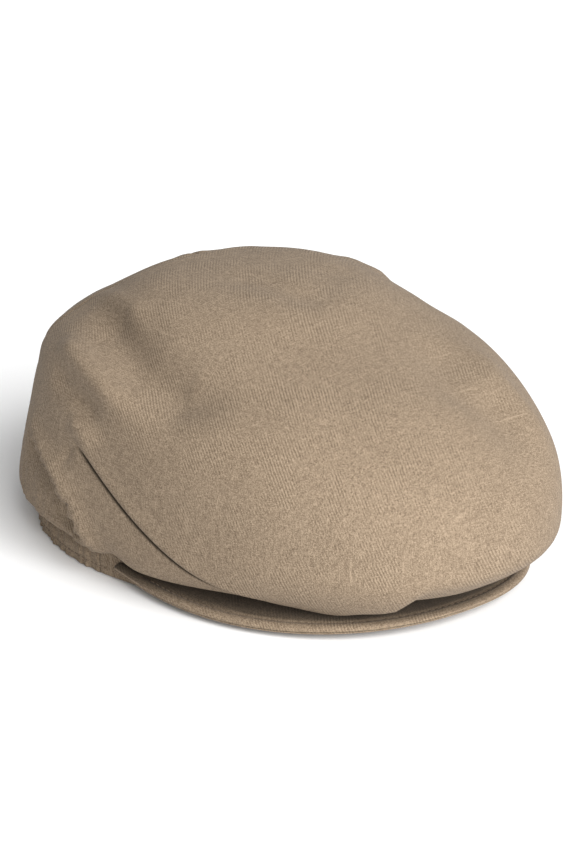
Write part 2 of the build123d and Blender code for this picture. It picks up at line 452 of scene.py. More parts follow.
# ---- meshes ----------------------------------------------------------------------------
def new_object(name: str, mesh: bpy.types.Mesh) -> bpy.types.Object:
    """Put a mesh in the scene as an object at the origin."""
    thing = bpy.data.objects.new(name, mesh)
    bpy.context.scene.collection.objects.link(thing)
    return thing


def only(thing: bpy.types.Object) -> None:
    """Make one object the only selected and active one."""
    bpy.ops.object.select_all(action="DESELECT")
    thing.select_set(True)
    bpy.context.view_layer.objects.active = thing


def object_from_bmesh(name: str, mesh: bmesh.types.BMesh, scale: float = MM) -> bpy.types.Object:
    """Turn a mesh in millimetres into a smooth-shaded object in metres."""
    bmesh.ops.scale(mesh, vec=(scale, scale, scale), verts=mesh.verts)
    for face in mesh.faces:
        face.smooth = True
    data = bpy.data.meshes.new(name)
    mesh.to_mesh(data)
    mesh.free()
    return new_object(name, data)


def apply_modifiers(thing: bpy.types.Object) -> None:
    """Apply all of an object's modifiers in order."""
    only(thing)
    for modifier in list(thing.modifiers):
        bpy.ops.object.modifier_apply(modifier=modifier.name)


def thicken(thing: bpy.types.Object, thickness: float, offset: float = -1.0) -> None:
    """Give a sheet its thickness in metres, inwards unless the offset says otherwise."""
    solid = thing.modifiers.new("cloth", "SOLIDIFY")
    solid.thickness = thickness
    solid.offset = offset
    solid.use_even_offset = False
    apply_modifiers(thing)


def flat_area(thing: bpy.types.Object) -> float:
    """The area of an open sheet in square metres."""
    return sum(face.area for face in thing.data.polygons)


def unwrap_cloth(thing: bpy.types.Object, grain: Tuple[Point, Point]) -> Tuple[float, float]:
    """Lay a sheet flat for its weave, at true size and turned to its grain.

    Args:
        thing: An open sheet.
        grain: Two places on the sheet, in metres, that one warp thread joins.

    Returns:
        The width and length of the flat sheet in metres.
    """
    only(thing)
    bpy.ops.object.mode_set(mode="EDIT")
    bpy.ops.mesh.select_all(action="SELECT")
    bpy.ops.uv.unwrap(method="CONFORMAL", margin=0.0)
    bpy.ops.object.mode_set(mode="OBJECT")
    data = thing.data
    layer = data.uv_layers.active
    flat = np.zeros(len(data.loops) * 2)
    layer.data.foreach_get("uv", flat)
    flat = flat.reshape(-1, 2)
    corner = np.zeros(len(data.loops), int)
    data.loops.foreach_get("vertex_index", corner)
    place = np.zeros(len(data.vertices) * 3)
    data.vertices.foreach_get("co", place)
    place = place.reshape(-1, 3)
    ends = [np.argmin(np.linalg.norm(place[corner] - np.array(g), axis=1)) for g in grain]
    pull = flat[ends[1]] - flat[ends[0]]
    turn = math.pi / 2 - math.atan2(pull[1], pull[0])
    c, s = math.cos(turn), math.sin(turn)
    flat = flat @ np.array([[c, s], [-s, c]])
    counts = np.zeros(len(data.polygons), int)
    data.polygons.foreach_get("loop_total", counts)
    starts = np.concatenate([[0], np.cumsum(counts)[:-1]])
    shoelace = 0.0
    for k in range(int(counts.max())):
        inside = counts > k
        a = flat[(starts + k)[inside]]
        b = flat[(starts + (k + 1) % np.maximum(counts, 1))[inside]]
        shoelace += float(np.sum(a[:, 0] * b[:, 1] - a[:, 1] * b[:, 0])) / 2
    scale = math.sqrt(flat_area(thing) / max(abs(shoelace), 1e-12))
    flat = (flat - flat.mean(axis=0)) * scale
    layer.data.foreach_set("uv", flat.ravel())
    size = flat.max(axis=0) - flat.min(axis=0)
    return float(size[0]), float(size[1])


def declare_sheet(size: Tuple[float, float], area: float) -> None:
    """Work out how much of its cut size a sheet's area fills; the result is not kept."""
    box = size[0] * size[1]
    share = min(max(area, 0.3 * box), box)


def declare_strip(width: float, area: float) -> None:
    """Divide a strip's area by its width in metres; the result is not kept."""
    area / width


# ---- shader building -------------------------------------------------------------------
class Sketch:
    """Short ways to place and join shader nodes in a tree."""

    def __init__(self, tree: bpy.types.NodeTree) -> None:
        """Keep the tree."""
        self.tree = tree

    def node(self, kind: str, **values: object) -> bpy.types.Node:
        """Place a node and set its own values."""
        made = self.tree.nodes.new(kind)
        for name, value in values.items():
            setattr(made, name, value)
        return made

    def feed(self, socket: bpy.types.NodeSocket, source: object) -> None:
        """Join a socket to another, or set its value."""
        if isinstance(source, bpy.types.NodeSocket):
            self.tree.links.new(source, socket)
        else:
            socket.default_value = source

    def math(self, operation: str, a: object, b: object = 0.0,
             c: object = 0.0) -> bpy.types.NodeSocket:
        """A math node's result."""
        made = self.node("ShaderNodeMath", operation=operation)
        for socket, source in zip(made.inputs, (a, b, c)):
            self.feed(socket, source)
        return made.outputs[0]

    def stretch(self, vector: object, scale: Point) -> bpy.types.NodeSocket:
        """A vector scaled along its axes."""
        made = self.node("ShaderNodeMapping")
        self.feed(made.inputs["Vector"], vector)
        made.inputs["Scale"].default_value = scale
        return made.outputs[0]

    def noise(self, vector: object, scale: float, detail: float = 2.0,
              rough: float = 0.5) -> bpy.types.NodeSocket:
        """A noise value from 0 to 1."""
        made = self.node("ShaderNodeTexNoise")
        self.feed(made.inputs["Vector"], vector)
        made.inputs["Scale"].default_value = scale
        made.inputs["Detail"].default_value = detail
        made.inputs["Roughness"].default_value = rough
        return made.outputs["Fac"]

    def limits(self, value: object, low: float, high: float) -> bpy.types.NodeSocket:
        """A value mapped from low..high to 0..1 and held there."""
        made = self.node("ShaderNodeMapRange", clamp=True)
        self.feed(made.inputs["Value"], value)
        made.inputs["From Min"].default_value = low
        made.inputs["From Max"].default_value = high
        return made.outputs["Result"]


def weave_group() -> bpy.types.NodeTree:
    """The shared woven cloth effect: how light each thread is, and how high it stands.

    Returns:
        A node group that takes flat cloth coordinates in metres.
    """
    group = bpy.data.node_groups.get("woven_cloth")
    if group:
        return group
    group = bpy.data.node_groups.new("woven_cloth", "ShaderNodeTree")
    face = group.interface
    face.new_socket("Cloth", in_out="INPUT", socket_type="NodeSocketVector")
    for name, value in (("Threads per metre", 1700.0), ("Twill", 0.5), ("Slubs", 0.5),
                        ("Mottle", 0.5)):
        socket = face.new_socket(name, in_out="INPUT", socket_type="NodeSocketFloat")
        socket.default_value = value
    face.new_socket("Tone", in_out="OUTPUT", socket_type="NodeSocketFloat")
    face.new_socket("Height", in_out="OUTPUT", socket_type="NodeSocketFloat")
    s = Sketch(group)
    entry = s.node("NodeGroupInput")
    leave = s.node("NodeGroupOutput")
    cloth = entry.outputs["Cloth"]
    density = entry.outputs["Threads per metre"]
    scaled = s.node("ShaderNodeVectorMath", operation="SCALE")
    s.feed(scaled.inputs[0], cloth)
    s.feed(scaled.inputs["Scale"], density)
    threads = scaled.outputs[0]
    fine = -1.5
    for run in ((0.12, 1.0, 1.0), (1.0, 0.12, 1.0), (1.0, 1.0, 0.12)):
        fine = s.math("ADD", s.noise(s.stretch(threads, run), 1.1, 2.0), fine)
    grain = s.math("SUBTRACT", s.noise(threads, 1.5, 3.0, 0.6), 0.5)
    fine = s.math("ADD", s.math("MULTIPLY", fine, 0.55), s.math("MULTIPLY", grain, 1.5))
    apart = s.node("ShaderNodeSeparateXYZ")
    s.feed(apart.inputs[0], threads)
    wander = s.math("MULTIPLY", s.noise(threads, 0.10, 2.0), 3.0)
    diagonal = s.math("SUBTRACT", s.math("MULTIPLY", apart.outputs[0], 0.78),
                      s.math("MULTIPLY", apart.outputs[1], 0.63))
    diagonal = s.math("ADD", diagonal, s.math("MULTIPLY", apart.outputs[2], 0.45))
    rib = s.math("SINE", s.math("ADD", s.math("MULTIPLY", diagonal, 2.9), wander))
    patchy = s.limits(s.noise(threads, 0.035, 2.0), 0.40, 0.62)
    facing = s.node("ShaderNodeVectorMath", operation="DOT_PRODUCT")
    s.feed(facing.inputs[0], s.node("ShaderNodeTexCoord").outputs["Normal"])
    facing.inputs[1].default_value = (0.71, -0.57, 0.41)
    across = s.limits(s.math("ABSOLUTE", facing.outputs["Value"]), 0.86, 0.5)
    rib = s.math("MULTIPLY", s.math("MULTIPLY", rib, patchy), entry.outputs["Twill"])
    rib = s.math("MULTIPLY", rib, across)
    slubs = 0.0
    for run in ((0.012, 0.8, 0.8), (0.8, 0.012, 0.8), (0.8, 0.8, 0.012)):
        yarn = s.noise(s.stretch(threads, run), 0.62, 2.0)
        slubs = s.math("ADD", s.limits(yarn, 0.66, 0.80), slubs)
    slubs = s.math("MULTIPLY", slubs, entry.outputs["Slubs"])
    cloud = s.math("SUBTRACT", s.noise(threads, 0.016, 3.0, 0.6), 0.5)
    cloud = s.math("MULTIPLY", cloud, entry.outputs["Mottle"])
    raised = s.math("ADD", fine, s.math("MULTIPLY", rib, 0.20))
    tone = s.math("ADD", s.math("MULTIPLY", raised, 1.4), s.math("MULTIPLY", cloud, 0.5))
    tone = s.math("ADD", tone, s.math("MULTIPLY", slubs, 0.8))
    tone = s.math("ADD", tone, 0.5)
    s.feed(leave.inputs["Tone"], tone)
    s.feed(leave.inputs["Height"], s.math("ADD", raised, s.math("MULTIPLY", slubs, 0.4)))
    return group


@dataclass(frozen=True)
class ClothFinish:
    """A woven cloth: its dark and light thread colours, its weave and its feel."""

    name: str
    dark: Point
    light: Point
    threads: float
    twill: float
    slubs: float
    mottle: float
    roughness: float
    sheen: float
    bump: float
    on_uv: bool = True

    def build(self) -> bpy.types.Material:
        """Make the material."""
        made = bpy.data.materials.new(self.name)
        made.use_nodes = True
        tree = made.node_tree
        s = Sketch(tree)
        shader = tree.nodes["Principled BSDF"]
        cloth = s.node("ShaderNodeTexCoord").outputs["UV" if self.on_uv else "Object"]
        weave = s.node("ShaderNodeGroup", node_tree=weave_group())
        s.feed(weave.inputs["Cloth"], cloth)
        s.feed(weave.inputs["Threads per metre"], self.threads)
        s.feed(weave.inputs["Twill"], self.twill)
        s.feed(weave.inputs["Slubs"], self.slubs)
        s.feed(weave.inputs["Mottle"], self.mottle)
        # Painted shade: the mask read here mixes the cloth's colour towards a near-black brown in
        # the seam lines, the rim pockets and under the crown's overhang.
        painted_shade = s.node("ShaderNodeAttribute", attribute_name="painted_shade").outputs["Fac"]
        ramp = s.node("ShaderNodeValToRGB")
        ramp.color_ramp.elements[0].position = 0.15
        ramp.color_ramp.elements[0].color = (*self.dark, 1.0)
        ramp.color_ramp.elements[1].position = 0.85
        ramp.color_ramp.elements[1].color = (*self.light, 1.0)
        s.feed(ramp.inputs[0], weave.outputs["Tone"])
        shade_mix = s.node("ShaderNodeMix", data_type="RGBA")
        s.feed(shade_mix.inputs["Factor"], s.math("MULTIPLY", painted_shade, 0.92))
        s.feed(shade_mix.inputs["A"], ramp.outputs[0])
        s.feed(shade_mix.inputs["B"], tuple(0.18 * part for part in self.dark) + (1.0,))
        s.feed(shader.inputs["Base Color"], shade_mix.outputs["Result"])
        rough = s.math("ADD", s.math("MULTIPLY", weave.outputs["Tone"], -0.12),
                       self.roughness + 0.06)
        s.feed(shader.inputs["Roughness"], rough)
        shader.inputs["Sheen Weight"].default_value = self.sheen
        shader.inputs["Sheen Roughness"].default_value = 0.5
        shader.inputs["Specular IOR Level"].default_value = 0.2
        bump = s.node("ShaderNodeBump")
        bump.inputs["Strength"].default_value = self.bump
        bump.inputs["Distance"].default_value = 0.0002
        s.feed(bump.inputs["Height"], weave.outputs["Height"])
        s.feed(shader.inputs["Normal"], bump.outputs[0])
        return made


@dataclass(frozen=True)
class PlainFinish:
    """A smooth material with a faint uneven tone, for thread, board and webbing."""

    name: str
    colour: Point
    shade: Point
    roughness: float
    scale: float
    bump: float

    def build(self) -> bpy.types.Material:
        """Make the material."""
        made = bpy.data.materials.new(self.name)
        made.use_nodes = True
        tree = made.node_tree
        s = Sketch(tree)
        shader = tree.nodes["Principled BSDF"]
        place = s.node("ShaderNodeTexCoord").outputs["Object"]
        grain = s.noise(place, self.scale, 3.0, 0.6)
        mix = s.node("ShaderNodeMix", data_type="RGBA")
        s.feed(mix.inputs["Factor"], s.limits(grain, 0.3, 0.7))
        s.feed(mix.inputs["A"], (*self.shade, 1.0))
        s.feed(mix.inputs["B"], (*self.colour, 1.0))
        s.feed(shader.inputs["Base Color"], mix.outputs["Result"])
        shader.inputs["Roughness"].default_value = self.roughness
        shader.inputs["Specular IOR Level"].default_value = 0.3
        bump = s.node("ShaderNodeBump")
        bump.inputs["Strength"].default_value = self.bump
        bump.inputs["Distance"].default_value = 0.0002
        s.feed(bump.inputs["Height"], grain)
        s.feed(shader.inputs["Normal"], bump.outputs[0])
        return made


TWILL = ClothFinish("linen_twill", dark=(0.122, 0.087, 0.057), light=(0.290, 0.221, 0.153),
                    threads=1700.0, twill=0.8, slubs=0.6, mottle=0.35, roughness=0.88,
                    sheen=0.04, bump=0.6, on_uv=False)
LINING = ClothFinish("lining_cloth", dark=(0.20, 0.15, 0.11), light=(0.34, 0.27, 0.20),
                     threads=2600.0, twill=0.2, slubs=0.1, mottle=0.3, roughness=0.48,
                     sheen=0.25, bump=0.15)
SWEATBAND = ClothFinish("sweatband_cloth", dark=(0.10, 0.075, 0.055), light=(0.22, 0.17, 0.125),
                        threads=2000.0, twill=0.6, slubs=0.1, mottle=0.3, roughness=0.8,
                        sheen=0.1, bump=0.4)
TAPE = ClothFinish("seam_tape", dark=(0.16, 0.12, 0.09), light=(0.29, 0.23, 0.17),
                   threads=2200.0, twill=0.1, slubs=0.0, mottle=0.3, roughness=0.85,
                   sheen=0.1, bump=0.4, on_uv=False)
BUCKRAM = ClothFinish("buckram", dark=(0.60, 0.56, 0.48), light=(0.80, 0.77, 0.70),
                      threads=900.0, twill=0.0, slubs=0.0, mottle=0.4, roughness=0.9,
                      sheen=0.0, bump=0.6, on_uv=False)
ELASTIC = ClothFinish("elastic_webbing", dark=(0.58, 0.56, 0.52), light=(0.84, 0.82, 0.79),
                      threads=1100.0, twill=0.2, slubs=0.0, mottle=0.2, roughness=0.75,
                      sheen=0.05, bump=0.6, on_uv=False)
LABEL = ClothFinish("label_cloth", dark=(0.52, 0.45, 0.35), light=(0.68, 0.61, 0.50),
                    threads=3000.0, twill=0.1, slubs=0.0, mottle=0.3, roughness=0.45,
                    sheen=0.3, bump=0.2)
THREAD = PlainFinish("thread", (0.19, 0.14, 0.095), (0.12, 0.088, 0.06), 0.7, 900.0, 0.3)
BOARD = PlainFinish("peak_board", (0.11, 0.11, 0.11), (0.08, 0.08, 0.08), 0.55, 400.0, 0.1)


def dress(thing: bpy.types.Object, material: bpy.types.Material) -> None:
    """Give a piece its material."""
    thing.data.materials.clear()
    thing.data.materials.append(material)


@dataclass
class Wardrobe:
    """Every finished material of the cap, built once."""

    made: Dict[str, bpy.types.Material] = field(default_factory=dict)

    def __getitem__(self, finish: object) -> bpy.types.Material:
        """The material of a finish."""
        if finish.name not in self.made:
            self.made[finish.name] = finish.build()
        return self.made[finish.name]


# ---- thread ----------------------------------------------------------------------------
@dataclass(frozen=True)
class StitchRow:
    """A row of straight stitches: their length, the gap to the next, and the thread (mm)."""

    length: float = 2.3
    gap: float = 0.7
    radius: float = 0.26
    sides: int = 6

    def build(self, name: str, path: np.ndarray, normals: np.ndarray) -> bpy.types.Object:
        """Sew along a path.

        Args:
            name: The piece's name.
            path: Points of the line in mm, close together.
            normals: The cloth's outward direction at each point.

        Returns:
            One object holding every stitch.
        """
        spans = np.linalg.norm(np.diff(path, axis=0), axis=1)
        run = np.concatenate([[0.0], np.cumsum(spans)])
        mesh = bmesh.new()
        at = self.gap
        profile = ((0.0, -0.5, 0.35), (0.12, 0.25, 0.85), (0.35, 0.55, 1.0), (0.65, 0.55, 1.0),
                   (0.88, 0.25, 0.85), (1.0, -0.5, 0.35))
        while at + self.length < run[-1]:
            rings = []
            for share, height, width in profile:
                where = at + share * self.length
                centre = np.array([np.interp(where, run, path[:, k]) for k in range(3)])
                ahead = np.array([np.interp(where + 0.2, run, path[:, k]) for k in range(3)])
                up = np.array([np.interp(where, run, normals[:, k]) for k in range(3)])
                up /= np.linalg.norm(up)
                forward = ahead - centre
                across = np.cross(forward, up)
                across /= max(np.linalg.norm(across), 1e-9)
                centre = centre + up * self.radius * height
                ring = []
                for side in range(self.sides):
                    angle = 2 * math.pi * side / self.sides
                    reach = self.radius * width
                    ring.append(mesh.verts.new(centre + across * math.cos(angle) * reach
                                               + up * math.sin(angle) * reach * 0.8))
                rings.append(ring)
            for a, b in zip(rings, rings[1:]):
                for k in range(self.sides):
                    n = (k + 1) % self.sides
                    mesh.faces.new((a[k], a[n], b[n], b[k]))
            mesh.faces.new(list(reversed(rings[0])))
            mesh.faces.new(rings[-1])
            at += self.length + self.gap
        bmesh.ops.recalc_face_normals(mesh, faces=mesh.faces)
        return object_from_bmesh(name, mesh)


# ---- crown -----------------------------------------------------------------------------
RIM_RIGHT: Tuple[Point, ...] = (
    (-88, 44, 62), (-92, 34, 56), (-96, 20, 50), (-98, 8, 44), (-99, 0, 38), (-98, -7, 31),
    (-97, -11, 24), (-94, -14, 18), (-90, -18, 13.5), (-87, -24, 12))
CROWN_FOLDS: Tuple[object, ...] = (
    Fold(((-76, 34, 96), (-84, 6, 92), (-88, -18, 87), (-90, -42, 80)), 4.4, 5.5),
    Fold(((-56, 38, 105), (-68, 6, 103), (-77, -26, 96), (-78, -56, 90), (-64, -84, 91)), -8.0,
         12.0),
    Fold(((-91, 24, 84), (-94, -2, 80), (-96, -26, 70)), -3.0, 6.0),
    Fold(((-96, 0, 71), (-97, -12, 68), (-97, -24, 63)), 3.0, 5.5, 0.4),
    Fold(((-98, -8, 60), (-98, -2, 53), (-98, 0, 49)), -1.6, 2.2, 0.4),
    Fold(((-46, 50, 102), (-52, 32, 109), (-58, 6, 111), (-64, -16, 107)), 3.0, 4.5),
    Fold(((-20, -4, 118), (-11, -30, 118), (-4, -60, 112)), -1.6, 9.0),
    Fold(((36, -20, 115), (10, -42, 116), (-14, -54, 114)), -1.5, 8.0),
    Fold(((34, -80, 101), (18, -116, 90), (26, -130, 80), (24, -150, 60)), -3.4, 13.0),
    Fold(((52, -84, 98), (44, -112, 86), (46, -130, 70), (44, -142, 52)), 2.4, 10.0),
    Fold(((58, 10, 108), (64, -8, 108), (66, -24, 106)), 2.0, 7.0),
    Fold(((74, -10, 102), (80, -36, 96), (78, -60, 92)), -2.6, 13.0),
    Fold(((-60, -110, 60), (-30, -142, 55), (0, -152, 52)), 0.8, 16.0),
    Fold(((84, 30, 94), (90, 0, 86), (92, -30, 76)), -1.0, 10.0),
    Fold(((60, 40, 102), (30, 60, 102), (0, 68, 98)), -1.6, 8.0),
    Fold(((-40, 66, 92), (0, 80, 84), (44, 70, 90)), 1.6, 7.0),
    Fold(((-36, -104, 13), (-34, -124, 13), (-32, -138, 18), (-27, -148, 32)), -4.2, 4.2, 0.35),
    Fold(((-62, -96, 14), (-52, -118, 14), (-40, -130, 17)), 1.6, 7.0, 0.3),
)


def mirrored(path: Sequence[Point]) -> Tuple[Point, ...]:
    """A path on the other side of the cap."""
    return tuple((-x, y, z) for x, y, z in path)


CROWN_RIMS: Tuple[Overhang, ...] = (
    Overhang(RIM_RIGHT, depth=9.5, lip=3.6, lip_width=6.5, reach=24.0, side=1.0),
    Overhang(mirrored(RIM_RIGHT), depth=8.5, lip=3.2, lip_width=6.5, reach=24.0, side=-1.0),
)


@dataclass
class Crown:
    """The crown's three panels and the tapes inside their seams."""

    cloth: CrownCloth
    wardrobe: Wardrobe
    hang_x: Tuple[float, ...] = (-80.0, -62.0, -50.0, -38.0, -31.0, -10.0, 60.0)
    hang_z: Tuple[float, ...] = (1.2, 0.4, -1.4, -1.9, 3.0, 1.8, 1.4)
    peak_tip_y: float = -28.0
    tip_room: float = 3.6
    band_room: Tuple[float, float] = (88.0, 104.6)
    gather_height: float = 0.8
    tape_half: float = 6.0
    tape_gap: float = 0.5
    tape_cloth: float = 0.4
    seam_tape_foot: float = 36.0
    dart_tape_foot: float = 22.0
    dart_tape_span: Tuple[float, float] = (-82.0, -12.0)

    def whole(self) -> bmesh.types.BMesh:
        """The crown's cloth in one piece, lifted into its seams, folds and gathers."""
        mesh = self.cloth.base_grid()
        self.cloth.cut_seams(mesh)
        bmesh.ops.recalc_face_normals(mesh, faces=mesh.faces)
        mesh.normal_update()
        points = np.array([v.co for v in mesh.verts])
        normals = np.array([v.normal for v in mesh.verts])
        if np.sum(normals * (points - np.array([0.0, 0.0, 50.0]))) < 0:
            bmesh.ops.reverse_faces(mesh, faces=mesh.faces)
            normals = -normals
        lift = self.cloth.lift(points, normals)
        low = 1.0 - smooth_step(18.0, 44.0, points[:, 2])
        lift += gather_lift(points, self.gather_height) * low * smooth_step(9.0, 17.0, points[:, 2])
        moved = points + normals * lift[:, None]
        moved[:, 2] += self.edge_droop(points)
        moved = self.keep_off_band(moved)
        # Store on each point how much painted shade the twill should put there.
        layer = mesh.verts.layers.float.new("painted_shade")
        for vert, place, shade in zip(mesh.verts, moved, self.cloth.painted_shade(points, normals)):
            vert.co = place
            vert[layer] = shade
        mesh.normal_update()
        return mesh

    def keep_off_band(self, points: np.ndarray) -> np.ndarray:
        """Hold the cloth's lowest part outside the headband that it is sewn to."""
        wide, long = self.band_room
        share = np.hypot(points[:, 0] / wide, points[:, 1] / long)
        push = np.where((share < 1.0) & (points[:, 2] < 40.0) & (points[:, 2] > 12.2),
                        1.0 / np.maximum(share, 0.5), 1.0)
        kept = points.copy()
        kept[:, :2] *= push[:, None]
        return kept

    def edge_droop(self, points: np.ndarray) -> np.ndarray:
        """The uneven hang of the crown's lower edge over the peak, in mm."""
        low = 1.0 - smooth_step(14.0, 34.0, points[:, 2])
        ahead = smooth_step(-40.0, -90.0, points[:, 1])
        sides = smooth_step(70.0, 92.0, np.abs(points[:, 0])) * (points[:, 1] < 0)
        hang = np.interp(points[:, 0], self.hang_x, self.hang_z)
        room = self.tip_room * np.exp(-(((points[:, 1] - self.peak_tip_y) / 9.0) ** 2))
        return low * ahead * hang + low * sides * (room - 1.5)

    def panels(self) -> None:
        """Cut the crown into its panels and dress them."""
        whole = self.whole()
        seams = self.cloth.seams
        choices = (
            ("crown_main_panel", lambda c: c.y < float(seams.cross_y(np.array(c.z)))),
            ("crown_back_left", lambda c: c.y > float(seams.cross_y(np.array(c.z))) and c.x > 0),
            ("crown_back_right", lambda c: c.y > float(seams.cross_y(np.array(c.z)))
             and c.x < 0),
        )
        grains = (((0.0, -0.10, 0.095), (0.0, -0.01, 0.119)),
                  ((0.03, 0.095, 0.05), (0.03, 0.075, 0.09)),
                  ((-0.03, 0.095, 0.05), (-0.03, 0.075, 0.09)))
        for (name, inside), grain in zip(choices, grains):
            part = whole.copy()
            loose = [f for f in part.faces if not inside(f.calc_center_median())]
            bmesh.ops.delete(part, geom=loose, context="FACES")
            thing = object_from_bmesh(name + "_cloth", part)
            size = unwrap_cloth(thing, grain)
            if name == "crown_main_panel":
                size = self.panel_size()
            area = flat_area(thing)
            thicken(thing, self.cloth.thickness * MM)
            dress(thing, self.wardrobe[TWILL])
            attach(thing, BODY)
            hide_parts(name)
            declare_sheet(size, area)
            LOG.info("%s: %d faces, cut %.0f x %.0f mm", thing.name, len(thing.data.polygons),
                     size[0] / MM, size[1] / MM)
        self.tapes(whole)
        whole.free()

    def panel_size(self) -> Tuple[float, float]:
        """The main panel's flat size: over the top from side to side, and from front to seam."""
        keys = np.linspace(0.12, 1.0, 160)
        form = self.cloth.form
        ways = form.surface(keys, np.array([0.0, math.pi / 2]))
        front, side = np.linalg.norm(np.diff(ways, axis=0), axis=2).sum(axis=0)
        return 2 * side * MM, (front + self.cloth.seams.cross_top_y) * MM

    def tapes(self, whole: bmesh.types.BMesh) -> None:
        """Bind the seams inside with tapes that follow the cloth."""
        seams = self.cloth.seams
        half, foot, dart_foot = self.tape_half, self.seam_tape_foot, self.dart_tape_foot
        front, back = self.dart_tape_span

        def behind(c: Vector) -> float:
            """How far behind the cross seam a place is."""
            return c.y - float(seams.cross_y(np.array(c.z)))

        def by_dart(c: Vector, side: Side) -> bool:
            """Whether a place lies under a side's dart tape."""
            off = seams.dart_distance(np.array([c]), side)[0]
            beside = abs(off) < half and c.x * side.value > 40
            return beside and front < c.y < back and c.z > dart_foot

        choices = (
            ("cross_seam_tape", lambda c: abs(behind(c)) < half and c.z > foot),
            ("back_seam_tape", lambda c: behind(c) > half and abs(c.x) < half and c.z > foot),
            ("dart_tape_left", lambda c: by_dart(c, Side.LEFT)),
            ("dart_tape_right", lambda c: by_dart(c, Side.RIGHT)),
        )
        for name, inside in choices:
            part = whole.copy()
            loose = [f for f in part.faces if not inside(f.calc_center_median())]
            bmesh.ops.delete(part, geom=loose, context="FACES")
            normals = {v: v.normal.copy() for v in part.verts}
            for vert in part.verts:
                vert.co -= normals[vert] * (self.cloth.thickness + self.tape_gap)
            thing = object_from_bmesh(name + "_cloth", part)
            area = flat_area(thing)
            thicken(thing, self.tape_cloth * MM)
            dress(thing, self.wardrobe[TAPE])
            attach(thing, BODY)
            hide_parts(name)
            declare_strip(2 * half * MM, area)


